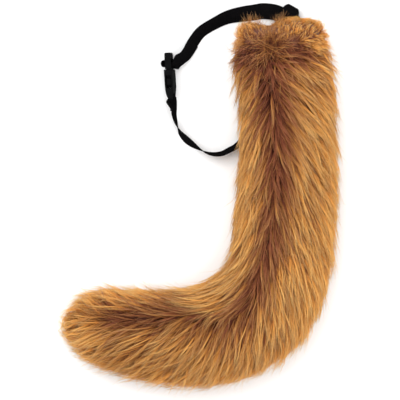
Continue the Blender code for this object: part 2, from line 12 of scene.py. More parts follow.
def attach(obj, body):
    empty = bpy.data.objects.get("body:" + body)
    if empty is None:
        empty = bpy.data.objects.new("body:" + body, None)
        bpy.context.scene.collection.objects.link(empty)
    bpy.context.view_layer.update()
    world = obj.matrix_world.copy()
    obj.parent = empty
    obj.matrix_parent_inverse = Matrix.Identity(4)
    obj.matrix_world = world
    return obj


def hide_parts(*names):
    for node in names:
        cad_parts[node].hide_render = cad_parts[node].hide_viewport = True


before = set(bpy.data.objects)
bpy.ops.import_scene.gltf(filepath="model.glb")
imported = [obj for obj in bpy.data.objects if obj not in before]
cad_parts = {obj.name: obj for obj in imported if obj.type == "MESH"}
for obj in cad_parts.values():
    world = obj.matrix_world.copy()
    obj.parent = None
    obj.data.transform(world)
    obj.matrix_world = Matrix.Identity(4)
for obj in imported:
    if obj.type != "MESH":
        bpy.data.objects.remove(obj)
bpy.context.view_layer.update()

MM = 0.001
ROOT = (0.1041, 0.2248)  # where the tail's middle line starts
TAIL_LENGTH = 0.636
# Along the middle line, as a share of its length: degrees off straight down the shaft.
TURNS = (
    (0.000, -3.9),
    (0.080, -3.4),
    (0.200, -2.2),
    (0.275, -1.0),
    (0.325, 0.3),
    (0.375, 2.6),
    (0.425, 6.4),
    (0.475, 12.6),
    (0.525, 23.0),
    (0.575, 38.0),
    (0.625, 55.5),
    (0.675, 70.5),
    (0.725, 82.5),
    (0.775, 92.0),
    (0.825, 98.5),
    (0.865, 101.5),
    (0.900, 102.3),
    (0.955, 98.0),
    (1.000, 88.0),
)
# How the pile is combed: along the line, degrees off it on the outer and the inner
# side, how far the parting lies off the line, and the pile's length, both in mm.
COMBING = (
    (0.00, 70, 70, -14, 12),
    (0.05, 66, 62, -19, 16),
    (0.08, 52, 50, -22, 34),
    (0.13, 42, 40, -19, 42),
    (0.20, 32, 26, -13, 44),
    (0.30, 26, 18, -14, 46),
    (0.42, 25, 14, -17, 46),
    (0.50, 30, 12, -24, 47),
    (0.55, 36, 12, -19, 48),
    (0.60, 44, 10, -10, 48),
    (0.66, 50, 10, -18, 48),
    (0.70, 50, 12, -25, 48),
    (0.75, 44, 14, -28, 46),
    (0.82, 38, 17, -24, 44),
    (0.88, 34, 20, -17, 42),
    (0.94, 30, 28, -9, 31),
    (1.00, 24, 24, -4, 21),
)
# The pile's shades along the line, from 0, dark, to 1, golden: in the parting and beside
# it, then how far inside of the parting the darkest roots lie, in mm.
SHADING = (
    (0.08, -0.10, 0.42, 0),
    (0.16, -0.10, 0.53, 0),
    (0.45, -0.02, 0.53, 0),
    (0.62, 0.03, 0.45, 1),
    (0.72, 0.02, 0.42, 14),
    (0.80, 0.02, 0.40, 5),
    (0.90, -0.03, 0.42, 2),
)
PARTING_BLEND = 6 * MM  # how far from the parting the pile is fully combed aside
SIDES_AT = 62  # from the middle line to the tail's sides, in mm
SHADE_OF_SIDES = 0.83
SHADE_OF_TIP = 0.95
SHADE_OF_ROOT_END = 0.85

# The root's end: the short pile turns back over it past a crease, and a whorl of ruffled hairs stands
# below the crease. Shade is painted into the pile in the crease and in two spots beside the whorl, where
# the pile opens.
WHORL = (0.0900, 0.1860)
WHORL_REACH = (9 * MM, 14 * MM)  # how far its hairs are strewn, commonly and at the most
WHORL_RISE = (-0.5, 9, 15, 17)  # how high they stand along their length, in mm
# Two spots where the pile opens, painted dark as shade, and how far that painted shade reaches.
PAINTED_SHADE_SPOTS = ((0.0690, 0.1865), (0.1141, 0.1865))
PAINTED_SHADE_REACH = 11  # in mm
CREASE = (0.042, 0.062)  # share of the line over which the pile turns back
CREASE_PAINTED_SHADE = (0.064, 0.018)  # where along the line the crease's painted shade lies, and how far it reaches
NOTCH = (0.0870, 0.2190)  # where the tail's end dips away from the belt
NOTCH_REACH = 15  # in mm
NOTCH_DEPTH = 8 * MM
END_MIDDLE = -4 * MM  # the end's own middle, off the middle line
END_HALF_WIDTH = 68 * MM
SMOOTH_FROM = -20 * MM  # the pile lies smooth from here inwards
FAN_MIDDLE = -12 * MM  # off which the turned pile fans out to both sides
FAN_REACH = 50 * MM
WISPS = ((0.0580, 0.0300), (0.1080, 0.0580))  # the patch, across and up, that wisps leave
# Across the root's end, from the inner side to the outer: the pile's length, all in mm.
ROOT_PILE = (
    (-65, 12),
    (-45, 7),
    (-30, 4),
    (-12, 2),
    (-4, 4),
    (6, 9),
    (22, 12),
    (38, 9),
    (65, 13),
)
# Where the pile stands fuller: share of the line, its reach, inner or outer side, more mm.
FULLER = (
    (0.050, 0.048, -1, 16),
    (0.045, 0.040, 1, 9),
    (0.135, 0.045, 1, 3),
    (0.300, 0.090, 1, 2),
    (0.340, 0.090, -1, 5),
    (0.455, 0.035, -1, -4),
    (0.560, 0.060, 1, 3),
    (0.760, 0.090, -1, 4),
    (0.830, 0.040, 1, -3),
    (0.895, 0.030, 1, 3),
    (0.930, 0.045, -1, 13),
    (1.000, 0.035, 1, 10),
    (1.000, 0.035, -1, 8),
)

PILE_DEPTH = 14 * MM  # from the fabric to the pile's outline
PRESSED_DEPTH = 5 * MM  # the same where the tail lies on the table
SHRINKING = 5  # steps from the pile's outline down to the fabric
FIRST_GRAIN, FIRST_PASSES = 0.0045, 16  # how the locks are rubbed off the solid
GRAIN, PASSES = 0.0055, 5  # how each step down is evened out
ROOT_DEPTH = 0.5 * MM  # how far a hair starts inside the fabric
LOWEST_HAIR = 0.5 * MM  # how near to the table a hair comes

UNDERFUR_HAIRS = (14500, 5000)
LOCKS = (6300, 1400)
HAIRS_IN_A_LOCK = (7, 6)
GUARD_HAIRS = (5200, 1000)
WISPY_HAIRS = (260, 60)
WHORL_SHARE = 40  # one guard hair in so many stands over the whorl
# How high each layer stands from its root to its tip, in shares of the pile's own height.
UNDERFUR_RISE = (0, 0.75, 1.0)
LOCK_RISE = (0, 0.7, 1.0, 1.12)
GUARD_RISE = (0, 0.65, 1.05, 1.5)
# Along a strand, its thickness, and along a lock, how far apart its strands are.
STRAND_TAPER = ((0, 0.35, 0.75, 1), (0.8, 1.0, 0.7, 0.2))
LOCK_TAPER = ((0, 0.5, 1), (1.0, 0.75, 0.34))

# The belt, from the tail's root: sizes, then its route.
BAND_WIDTH = 0.020
BAND_THICKNESS = 0.0012
BAND_GAP = 0.0003  # between two layers
BAND_STEP = 0.0018  # between two sections of the band
SELVEDGE = (-0.8, 0, 0.8)  # angles round the band's edge
BELT_SPREAD = 0.141  # from the tail's middle out to the buckle
BELT_DROP = 0.170  # from the tail's root down to the belt's lowest bight
FREE_END = 0.036  # how long the end lies on the band past the plug
FREE_JOIN = 0.012  # where along the band it comes to lie on it
SEWN_END = 0.016
SEWN_JOIN = 0.003
THREADED_BEND = 0.0039  # half of what the bend takes up along the plug
THREADED_DEPTH = 0.0030
THREADED_TILT = 0.2
# Share of the spread, share of the drop, degrees off flat, lift in thicknesses.
BELT_ROUTE = (
    (0.850, 0.276, 45, 1.6),
    (0.781, 0.183, 46, 0.3),
    (0.709, 0.107, 46, 0.0),
    (0.579, 0.041, 44, 0.0),
    (0.468, -0.001, 34, 0.0),
    (0.332, -0.024, 14, 0.0),
    (0.248, -0.034, 8, 0.0),
    (0.163, -0.045, 4, 0.5),
    (0.071, -0.038, 0, 1.4),
    (0.004, -0.019, 0, 1.4),
    (-0.056, 0.001, 4, 1.4),
    (-0.111, 0.036, 14, 1.4),
    (-0.155, 0.089, 28, 1.4),
    (-0.168, 0.162, 30, 0.7),
    (-0.146, 0.254, 16, 0.0),
    (-0.093, 0.365, 2, 0.0),
    (0.000, 0.519, 0, 0.0),
    (0.115, 0.666, 0, 0.0),
    (0.239, 0.806, 6, 0.0),
    (0.332, 0.896, 62, 0.0),
    (0.399, 0.951, 70, 0.0),
    (0.461, 0.980, 71, 0.0),
    (0.523, 1.005, 73, 0.0),
    (0.585, 1.012, 76, 0.0),
    (0.649, 1.004, 82, 0.0),
    (0.700, 0.986, 90, 0.0),
    (0.751, 0.961, 101, 0.0),
    (0.802, 0.932, 111, 0.0),
    (0.849, 0.899, 113, 0.0),
    (0.894, 0.858, 104, 0.0),
    (0.920, 0.815, 90, 0.0),
    (0.939, 0.769, 75, 0.8),
)

# The webbing loop, sewn into the tail's root, that the belt runs through.
LOOP_ACROSS, LOOP_DOWN = -0.056, 0.001
LOOP_HEADING = math.radians(-29)
LOOP_WIDTH = 1.08  # in widths of the belt
LOOP_HEIGHT = 0.0120
LOOP_TURN = 0.003  # the radius of its corners
LOOP_SEAT_LOW = 0.024  # how deep its lower and its upper layer are sewn in
LOOP_SEAT_HIGH = 0.018
LOOP_RISE = 0.010
LOOP_CLEARANCE = 0.0048
LOOP_ROUNDING = 0.006  # how long the worn part of its fold is
LOOP_WEAR = 0.36  # how much of the width the worn corners lose
TURN_STEPS = 8  # round one of its corners

# The buckle that the belt is threaded through.
BUCKLE_ACROSS = 0.990
BUCKLE_DOWN = 0.434
BUCKLE_TURN = math.radians(3.7)
BUCKLE_LEAN = math.radians(7.5)
BUCKLE_THICKNESS = 0.0105
BUCKLE_LENGTH = 0.0581
BUCKLE_HALF_WIDTH = 0.0156
SOCKET_END = -BUCKLE_LENGTH / 2
SOCKET_LENGTH = 0.037
SOCKET_BAR = 0.0032
SOCKET_BAR_THICKNESS = 0.0040
SOCKET_BAR_OFFSET = 0.0012
SOCKET_BAR_MIDDLE = SOCKET_END + SOCKET_BAR / 2
BUCKLE_GAP = 0.0003
PLUG_BASE = 0.0017
PLUG_SLOT = 0.0038
PLUG_BAR = 0.0035
PLUG_BAR_MIDDLE = SOCKET_END + SOCKET_LENGTH + BUCKLE_GAP + PLUG_BASE + PLUG_SLOT + PLUG_BAR / 2
# Which way the band's upper edge leans beside the plug and below the socket.
LEANS_AT_PLUG = Vector((-0.7, 0.71, 0.0))
LEANS_AT_SOCKET = Vector((-1.0, 0.0, 0.0))
# The band leaves the plug: off the buckle's middle plane, past the bar, degrees off flat.
LEAVING_RUN = (
    (BUCKLE_THICKNESS / 2, 0.0022, 74),
    (0.0084, -0.0001, 60),
    (0.0136, 0.0046, 47),
)
# The free end under it: the same, past the edge of the slot.
FREE_RUN = (
    (BUCKLE_THICKNESS / 2, 0.0, 66),
    (0.0074, 0.0002, 56),
)
# The sewn end: off the buckle's middle plane, below the socket, degrees off flat.
SEWN_RUN = (
    (0.0021, 0.0190, 73),
    (0.0026, 0.0125, 72),
    (0.0015, 0.0075, 62),
    (0.0006, 0.0028, 54),
)
ARC_STEPS = 14  # round one of the buckle's bars

# The camera looks straight down, and its picture is to scale at the tail's own height.
LENS, SENSOR = 700, 36
HALF_FRAME = 0.25
FRAME_MIDDLE = (0.0022, -0.0045)
TO_SCALE_AT = 0.035
FLOOR_SIZE = 6
FLOOR_LEVEL = -0.0004
# The soft lamps: name, place, size and power.
LAMPS = (
    ("key", (-0.5, 0.8, 1.8), 1.6, 26),
    ("fill", (1.1, -0.5, 1.7), 1.6, 14),
)


def select_only(piece):
    bpy.ops.object.select_all(action="DESELECT")
    piece.select_set(True)
    bpy.context.view_layer.objects.active = piece


def linear(red, green, blue):
    """A colour as seen on screen, 0 to 255, for a shader's socket."""

    def one(value):
        value /= 255
        return value / 12.92 if value <= 0.04045 else ((value + 0.055) / 1.055) ** 2.4

    return (one(red), one(green), one(blue), 1.0)


# The finishes


def new_finish(name):
    """A material, its nodes, its links and its shader."""
    finish = bpy.data.materials.new(name)
    finish.use_nodes = True
    nodes, links = finish.node_tree.nodes, finish.node_tree.links
    return finish, nodes, links, nodes["Principled BSDF"]


def colour_ramp(nodes, stops):
    """A smooth run of colours through (place, colour) stops."""
    ramp = nodes.new("ShaderNodeValToRGB")
    ramp.color_ramp.interpolation = "B_SPLINE"
    points = ramp.color_ramp.elements
    while len(points) < len(stops):
        points.new(0.5)
    for point, (place, colour) in zip(points, stops):
        point.position = place
        point.color = linear(*colour)
    return ramp


def fur_finish():
    """Strand colour from its root to its tip, between a dark and a light shade."""
    finish, nodes, links, shader = new_finish("golden_pile")
    strand = nodes.new("ShaderNodeUVMap")
    strand.uv_map = "strand"
    split = nodes.new("ShaderNodeSeparateXYZ")
    links.new(strand.outputs["UV"], split.inputs[0])
    dark = colour_ramp(
        nodes,
        [(0.0, (42, 14, 10)), (0.35, (86, 36, 23)), (0.7, (142, 72, 44)), (1.0, (206, 136, 92))],
    )
    light = colour_ramp(
        nodes,
        [(0.0, (142, 70, 32)), (0.3, (222, 140, 62)), (0.65, (252, 188, 92)), (1.0, (255, 226, 160))],
    )
    shade = nodes.new("ShaderNodeMix")
    shade.data_type = "RGBA"
    links.new(split.outputs["X"], shade.inputs["Factor"])
    for ramp, socket in ((dark, "A"), (light, "B")):
        links.new(split.outputs["Y"], ramp.inputs["Fac"])
        sockets = [s for s in shade.inputs if s.name == socket and s.type == "RGBA"]
        links.new(ramp.outputs["Color"], sockets[0])
    colours = [s for s in shade.outputs if s.type == "RGBA"]
    links.new(colours[0], shader.inputs["Base Color"])
    shader.inputs["Roughness"].default_value = 0.5
    shader.inputs["Specular IOR Level"].default_value = 0.25
    return finish


def backing_finish():
    """The fabric that the pile grows from, brown and napped."""
    finish, nodes, links, shader = new_finish("fur_backing")
    place = nodes.new("ShaderNodeTexCoord")
    nap = nodes.new("ShaderNodeTexNoise")
    nap.inputs["Scale"].default_value = 240
    nap.inputs["Detail"].default_value = 6
    links.new(place.outputs["Object"], nap.inputs["Vector"])
    tones = colour_ramp(nodes, [(0.3, (70, 32, 18)), (0.7, (122, 66, 36))])
    links.new(nap.outputs["Fac"], tones.inputs["Fac"])
    links.new(tones.outputs["Color"], shader.inputs["Base Color"])
    bump = nodes.new("ShaderNodeBump")
    bump.inputs["Distance"].default_value = 1.2 * MM
    bump.inputs["Strength"].default_value = 0.8
    links.new(nap.outputs["Fac"], bump.inputs["Height"])
    links.new(bump.outputs["Normal"], shader.inputs["Normal"])
    shader.inputs["Roughness"].default_value = 0.9
    shader.inputs["Sheen Weight"].default_value = 0.3
    return finish


def elastic_finish():
    """Black woven elastic: ribs across the band and warp along it."""
    finish, nodes, links, shader = new_finish("woven_elastic")
    band = nodes.new("ShaderNodeUVMap")
    band.uv_map = "band"
    split = nodes.new("ShaderNodeSeparateXYZ")
    links.new(band.outputs["UV"], split.inputs[0])

    def wave(axis, per_unit, strength):
        """A row of rounded ridges along one direction of the band."""
        times = nodes.new("ShaderNodeMath")
        times.operation = "MULTIPLY"
        times.inputs[1].default_value = per_unit * math.tau
        links.new(split.outputs[axis], times.inputs[0])
        sine = nodes.new("ShaderNodeMath")
        sine.operation = "SINE"
        links.new(times.outputs[0], sine.inputs[0])
        size = nodes.new("ShaderNodeMath")
        size.operation = "MULTIPLY"
        size.inputs[1].default_value = strength
        links.new(sine.outputs[0], size.inputs[0])
        return size

    ribs = wave("Y", 26, 0.6)
    warp = wave("X", 14, 0.4)
    both = nodes.new("ShaderNodeMath")
    both.operation = "ADD"
    links.new(ribs.outputs[0], both.inputs[0])
    links.new(warp.outputs[0], both.inputs[1])
    bump = nodes.new("ShaderNodeBump")
    bump.inputs["Distance"].default_value = 0.25 * MM
    bump.inputs["Strength"].default_value = 0.7
    links.new(both.outputs[0], bump.inputs["Height"])
    links.new(bump.outputs["Normal"], shader.inputs["Normal"])
    place = nodes.new("ShaderNodeTexCoord")
    fluff = nodes.new("ShaderNodeTexNoise")
    fluff.inputs["Scale"].default_value = 900
    links.new(place.outputs["Object"], fluff.inputs["Vector"])
    tones = colour_ramp(nodes, [(0.35, (7, 7, 8)), (0.75, (24, 23, 24))])
    links.new(fluff.outputs["Fac"], tones.inputs["Fac"])
    links.new(tones.outputs["Color"], shader.inputs["Base Color"])
    shader.inputs["Roughness"].default_value = 0.8
    shader.inputs["Specular IOR Level"].default_value = 0.0
    return finish


def moulded_finish():
    """Black moulded plastic: fine spark-eroded grain, a little rubbed."""
    finish, nodes, links, shader = new_finish("moulded_plastic")
    place = nodes.new("ShaderNodeTexCoord")
    grain = nodes.new("ShaderNodeTexNoise")
    grain.inputs["Scale"].default_value = 1600
    grain.inputs["Detail"].default_value = 3
    rubbed = nodes.new("ShaderNodeTexNoise")
    rubbed.inputs["Scale"].default_value = 90
    rubbed.inputs["Detail"].default_value = 5
    for texture in (grain, rubbed):
        links.new(place.outputs["Object"], texture.inputs["Vector"])
    tones = colour_ramp(nodes, [(0.3, (10, 10, 10)), (0.8, (20, 20, 21))])
    links.new(rubbed.outputs["Fac"], tones.inputs["Fac"])
    links.new(tones.outputs["Color"], shader.inputs["Base Color"])
    gloss = nodes.new("ShaderNodeMapRange")
    gloss.inputs["To Min"].default_value = 0.65
    gloss.inputs["To Max"].default_value = 0.85
    links.new(rubbed.outputs["Fac"], gloss.inputs["Value"])
    links.new(gloss.outputs["Result"], shader.inputs["Roughness"])
    shader.inputs["Specular IOR Level"].default_value = 0.008
    bump = nodes.new("ShaderNodeBump")
    bump.inputs["Distance"].default_value = 0.05 * MM
    bump.inputs["Strength"].default_value = 0.35
    links.new(grain.outputs["Fac"], bump.inputs["Height"])
    links.new(bump.outputs["Normal"], shader.inputs["Normal"])
    return finish


# The tail's middle line and how the pile lies on it


class MiddleLine:
    """Points along the tail's middle line, with the ways ahead and outwards at each."""

    STEPS = 500

    def __init__(self):
        shares = (np.arange(self.STEPS) + 0.5) / self.STEPS
        turns = np.radians(np.interp(shares, *zip(*TURNS)))
        steps = np.stack([-np.sin(turns), -np.cos(turns)], 1) * TAIL_LENGTH / self.STEPS
        self.points = np.cumsum(steps, 0) + ROOT - steps / 2
        self.shares = shares
        zero = np.zeros(self.STEPS)
        self.ahead = np.stack([-np.sin(turns), -np.cos(turns), zero], 1)
        self.outward = np.stack([np.cos(turns), -np.sin(turns), zero], 1)

    def nearest(self, places):
        found = np.empty(len(places), int)
        for i in range(0, len(places), 4000):
            off = places[i : i + 4000, None, :2] - self.points[None]
            found[i : i + 4000] = (off**2).sum(2).argmin(1)
        return found


LINE = MiddleLine()
COMBED_AT, OUTER_SWEEP, INNER_SWEEP, PARTING, PILE_LENGTH = np.array(COMBING, float).T
SHADED_AT, *SHADES = np.array(SHADING, float).T


def unit(vectors):
    return vectors / np.maximum(np.linalg.norm(vectors, axis=1, keepdims=True), 1e-9)


def eased(low, high, value):
    """From 0 at one value to 1 at the other, without corners."""
    t = np.clip((value - low) / (high - low), 0, 1)
    return t * t * (3 - 2 * t)


def near(places, spot, reach):
    """From 1 at a spot, seen from above, down to 0 a few times its reach in mm away."""
    return np.exp(-((np.hypot(*(places[:, :2] - spot).T) / (reach * MM)) ** 2))


def on_the_line(places):
    """Where places lie along the middle line, how far aside, and the line's own ways."""
    at = LINE.nearest(places)
    aside = ((places[:, :2] - LINE.points[at]) * LINE.outward[at, :2]).sum(1)
    return LINE.shares[at], aside, LINE.ahead[at], LINE.outward[at]


def pile_flow(places, normals):
    """Which way the pile lies at places of the fabric."""
    share, aside, ahead, outward = on_the_line(places)
    past = aside - np.interp(share, COMBED_AT, PARTING) * MM
    which = np.tanh(past / PARTING_BLEND)
    outer = np.interp(share, COMBED_AT, OUTER_SWEEP)
    inner = np.interp(share, COMBED_AT, INNER_SWEEP)
    sweep = np.radians(np.where(past > 0, outer, inner)) * which
    round_it = unit(np.cross(normals, ahead))
    flow = ahead * np.cos(sweep)[:, None] + round_it * np.sin(sweep)[:, None]
    # Past the crease near the root the short pile turns back and fans out over the end.
    fan = outward * np.clip((aside - FAN_MIDDLE) / FAN_REACH, -1, 1)[:, None]
    rounded = np.sqrt(np.clip(1 - ((aside - END_MIDDLE) / END_HALF_WIDTH) ** 2, 0.04, 1))
    turned = 1 - eased(*CREASE, share / rounded)
    flow = flow * (1 - turned)[:, None] + (fan - ahead) * turned[:, None]
    flow -= normals * (flow * normals).sum(1)[:, None]
    return unit(flow)


def fuller(share, aside):
    """How much more the pile stands out in some stretches of its two sides."""
    more = np.zeros(len(share))
    for middle, reach, side, by in FULLER:
        here = np.exp(-(((share - middle) / reach) ** 2))
        more += by * MM * here * eased(15 * MM, 50 * MM, aside * side)
    return more


def smooth_end(aside):
    """1 on the inner half of the root's end, where the pile is shortest and lies smooth."""
    return eased(END_MIDDLE, SMOOTH_FROM, aside)


def pile_size(places, normals):
    """How long the pile is at places of the fabric, and how high it stands."""
    share, aside = on_the_line(places)[:2]
    length = np.interp(share, COMBED_AT, PILE_LENGTH)
    at_root = np.interp(aside / MM, *zip(*ROOT_PILE))
    root = 1 - eased(0.045, 0.085, share)
    length = length * (1 - root) + at_root * root
    stand = PILE_DEPTH * (1.0 - (0.68 + 0.16 * smooth_end(aside)) * root)
    stand += fuller(share, aside) * 0.4
    stand *= 1 - 0.78 * eased(0.4, 0.8, -normals[:, 2])
    return length * MM, stand


# The stuffed body


def stuffed_body(finish):
    """The fabric under the pile: the tail's solid with its locks smoothed away."""
    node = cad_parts["fur_tail"]
    body = bpy.data.objects.new("fur_backing", node.data.copy())
    bpy.context.scene.collection.objects.link(body)
    select_only(body)
    bpy.ops.object.mode_set(mode="EDIT")
    bpy.ops.mesh.select_all(action="SELECT")
    bpy.ops.mesh.remove_doubles(threshold=0.00001)
    bpy.ops.object.mode_set(mode="OBJECT")
    evened(body, FIRST_GRAIN, FIRST_PASSES)
    for _ in range(SHRINKING):
        places, normals = corners_of(body)
        share, aside = on_the_line(places)[:2]
        pressed = eased(0.3, 0.85, -normals[:, 2])
        # Over the root's end and the tip the fabric lies nearer to the pile's outline.
        ends = (0.6 + 0.15 * smooth_end(aside)) * (1 - eased(0.02, 0.09, share))
        ends += 0.68 * eased(0.94, 1.0, share)
        depth = PILE_DEPTH * (1 - ends) + NOTCH_DEPTH * near(places, NOTCH, NOTCH_REACH)
        depth = depth * (1 - pressed) + PRESSED_DEPTH * pressed - fuller(share, aside) * 0.6
        places -= normals * depth[:, None] / SHRINKING
        body.data.vertices.foreach_set("co", places.ravel())
        evened(body, GRAIN, PASSES)
    bpy.ops.object.shade_smooth()
    body.data.materials.clear()
    body.data.materials.append(finish)
    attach(body, "root")
    return body


def evened(body, grain, passes):
    """Remeshes the body and rubs its ridges down."""
    body.data.remesh_voxel_size = grain
    bpy.ops.object.voxel_remesh()
    smooth = body.modifiers.new("smooth", "SMOOTH")
    smooth.factor, smooth.iterations = 0.6, passes
    bpy.ops.object.modifier_apply(modifier="smooth")


def corners_of(piece):
    """The places and normals of a mesh's corners."""
    count = len(piece.data.vertices)
    places, normals = np.empty(count * 3), np.empty(count * 3)
    piece.data.vertices.foreach_get("co", places)
    piece.data.vertices.foreach_get("normal", normals)
    return places.reshape(-1, 3), normals.reshape(-1, 3)


# The pile


def seeds_on(body, count, draw):
    """Places on the fabric, spread by area, with fewer where the tail is pressed."""
    mesh = body.data
    mesh.calc_loop_triangles()
    triangles = np.array([t.vertices[:] for t in mesh.loop_triangles])
    places, normals = corners_of(body)
    corners = places[triangles]
    faces = np.cross(corners[:, 1] - corners[:, 0], corners[:, 2] - corners[:, 0])
    area = np.linalg.norm(faces, axis=1)
    under = unit(faces)[:, 2] < -0.75
    weight = area * np.where(under, 0.35, 1.0)
    picked = draw.choice(len(triangles), count, p=weight / weight.sum())
    a, b = draw.random(count), draw.random(count)
    over = a + b > 1
    a[over], b[over] = 1 - a[over], 1 - b[over]
    mix = np.stack([1 - a - b, a, b], 1)[:, :, None]
    return (corners[picked] * mix).sum(1), unit((normals[triangles[picked]] * mix).sum(1))


def grown(tree, roots, normals, length, height, rise, draw, stray):
    """Strand paths that leave the fabric, lie over and follow its form."""
    count, steps = len(roots), len(rise) - 1
    path = np.empty((count, steps + 1, 3))
    path[:, 0] = roots - normals * ROOT_DEPTH
    place, normal = roots.copy(), normals.copy()
    share, aside = on_the_line(roots)[:2]
    # The pile is ruffled round the whorl, along the arm and on the root's outer corner.
    ruffled = 1 + 1.8 * eased(0.03, 0.06, share) * (1 - eased(0.06, 0.14, share))
    ruffled += 0.7 * eased(0.6, 0.8, share)
    ruffled += 0.7 * (1 - eased(0.03, 0.06, share)) * eased(-12 * MM, 4 * MM, aside)
    wander = draw.normal(0, stray, (count, 3)) * ruffled[:, None]
    follows = draw.uniform(0.1, 0.55, count)
    for k in range(1, steps + 1):
        heading = unit(pile_flow(place, normal) + wander * (0.5 + 0.5 * k / steps))
        step = length / steps * (0.7 if k == 1 else 1.1)
        ahead = path[:, k - 1] + heading * step[:, None]
        stands = height * rise[k]
        for i in range(count):
            place[i], normal[i] = tree.find_nearest(Vector(ahead[i]))[:2]
        high = ((ahead - place) * normal).sum(1)
        hold = (0.9, 0.3 + 0.9 * follows, follows)[min(k, 3) - 1]
        path[:, k] = ahead + normal * ((stands - high) * hold)[:, None]
    path[:, :, 2] = np.maximum(path[:, :, 2], LOWEST_HAIR)
    return path


def strand_mesh(name, paths, thickness, shade, finish):
    """Closed three-sided strands along paths, in one mesh, each with its shade."""
    count, rings = paths.shape[0], paths.shape[1] - 1
    taper = np.interp(np.linspace(0, 1, rings + 1), *STRAND_TAPER)
    ahead = np.gradient(paths, axis=1)
    ahead /= np.maximum(np.linalg.norm(ahead, axis=2, keepdims=True), 1e-9)
    side = np.cross(ahead, [0.31, 0.22, 0.93])
    side /= np.maximum(np.linalg.norm(side, axis=2, keepdims=True), 1e-9)
    up = np.cross(side, ahead)
    corners = []
    for turn in (0, math.tau / 3, 2 * math.tau / 3):
        reach = (thickness[:, None] / 2 * taper[None])[:, :, None]
        corners.append(paths + (side * math.cos(turn) + up * math.sin(turn)) * reach)
    body = np.stack(corners, 2)[:, :rings].reshape(count, -1, 3)
    points = np.concatenate([body, paths[:, -1:]], 1)
    per = points.shape[1]
    faces, along, across = [(0, 2, 1)], [(0, 0, 0)], [(0, 2, 1)]
    for k in range(rings - 1):
        for j in range(3):
            a, b = 3 * k + j, 3 * k + (j + 1) % 3
            faces += [(a, b, b + 3), (a, b + 3, a + 3)]
            along += [(k, k, k + 1), (k, k + 1, k + 1)]
            across += [(j, j + 1, j + 1), (j, j + 1, j)]
    last = 3 * (rings - 1)
    for j in range(3):
        faces.append((last + j, last + (j + 1) % 3, last + 3))
        along.append((rings - 1, rings - 1, rings))
        across.append((j, j + 1, j + 0.5))
    faces, along, across = np.array(faces), np.array(along, float), np.array(across, float)
    every = faces[None] + (np.arange(count) * per)[:, None, None]
    mesh = bpy.data.meshes.new(name)
    mesh.vertices.add(count * per)
    mesh.vertices.foreach_set("co", points.ravel())
    total = every.size
    mesh.loops.add(total)
    mesh.loops.foreach_set("vertex_index", every.ravel().astype(np.int32))
    mesh.polygons.add(total // 3)
    mesh.polygons.foreach_set("loop_start", np.arange(0, total, 3, dtype=np.int32))
    mesh.polygons.foreach_set("use_smooth", np.ones(total // 3, bool))
    # A strand's own strip of its map: its shade across, and its length up.
    u = shade[:, None, None] * 0.955 + 0.004 + across[None] * 0.012
    v = np.broadcast_to(0.01 + 0.98 * along / rings, u.shape)
    places = np.stack([u, v], -1).ravel()
    for name_of_map in ("strand", "OFBake"):
        mesh.uv_layers.new(name=name_of_map).data.foreach_set("uv", places)
    mesh.update(calc_edges=True)
    mesh.validate()
    piece = bpy.data.objects.new(name, mesh)
    bpy.context.scene.collection.objects.link(piece)
    mesh.materials.append(finish)
    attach(piece, "root")
    return piece


def clumped(guides, normals, each, width, draw):
    """Strands gathered round guides: apart at the fabric, together at the tips."""
    count, points = guides.shape[:2]
    owner = np.repeat(np.arange(count), each)
    offset = draw.normal(0, 1, (len(owner), 3))
    facing = normals[owner]
    offset -= facing * (offset * facing).sum(1)[:, None] * 0.7
    along = np.linspace(0, 1, points)
    spread = np.interp(along, *LOCK_TAPER)
    paths = guides[owner] + offset[:, None] * (width[owner][:, None] * spread)[:, :, None]
    # Each strand ends in its own place, a little short of the lock's tip or past it.
    reach = draw.uniform(0.72, 1.08, len(owner))
    paths = paths[:, :1] + (paths - paths[:, :1]) * reach[:, None, None]
    bow = draw.normal(0, 1.1 * MM, (len(owner), 1, 3))
    paths += bow * (along * (1.4 - along))[None, :, None]
    paths[:, :, 2] = np.maximum(paths[:, :, 2], LOWEST_HAIR)
    return paths, owner


def tone_of(places):
    """The pile's shade, from 0, the dark pile of the parting, to 1, the golden pile."""
    share, aside = on_the_line(places)[:2]
    parting = np.interp(share, COMBED_AT, PARTING)
    darkest, beside, inside = (np.interp(share, SHADED_AT, part) for part in SHADES)
    past = aside / MM - (parting - inside)
    on_outer = past > 0
    away = np.abs(past) / np.where(on_outer, SIDES_AT - parting + inside, SIDES_AT + parting - inside)
    # Beside the parting it lightens at once, then slowly, and once more at the sides.
    reach = np.where(on_outer, 0.28, np.interp(share, (0.5, 0.65), (0.37, 0.20)))
    beside = beside + np.where(on_outer, 0, 0.36 * eased(0.70, 0.79, share))
    edge = beside * eased(0.0, reach, away)
    edge += (SHADE_OF_SIDES - beside) * eased(reach + 0.15, reach + 0.6, away)
    # The tip and the root's end are golden all over.
    ends = SHADE_OF_TIP * eased(0.855, 0.95, share)
    outer = 0.012 * eased(10 * MM, 35 * MM, aside)
    golden = 1 - eased(0.036 + outer, 0.062 + outer, share)
    ends += (SHADE_OF_ROOT_END - 0.22 * smooth_end(aside)) * golden
    # Painted shade: the crease and the two spots where the pile opens are painted darkest.
    crease_at, crease_reach = CREASE_PAINTED_SHADE
    painted_shade = 0.25 * np.exp(-(((share - crease_at) / crease_reach) ** 2)) * (1 - eased(0.5, 1.0, away))
    for shade_spot in PAINTED_SHADE_SPOTS:
        painted_shade += 0.6 * near(places, shade_spot, PAINTED_SHADE_REACH)
    return np.clip(darkest + edge + ends - painted_shade, -0.2, 0.95)


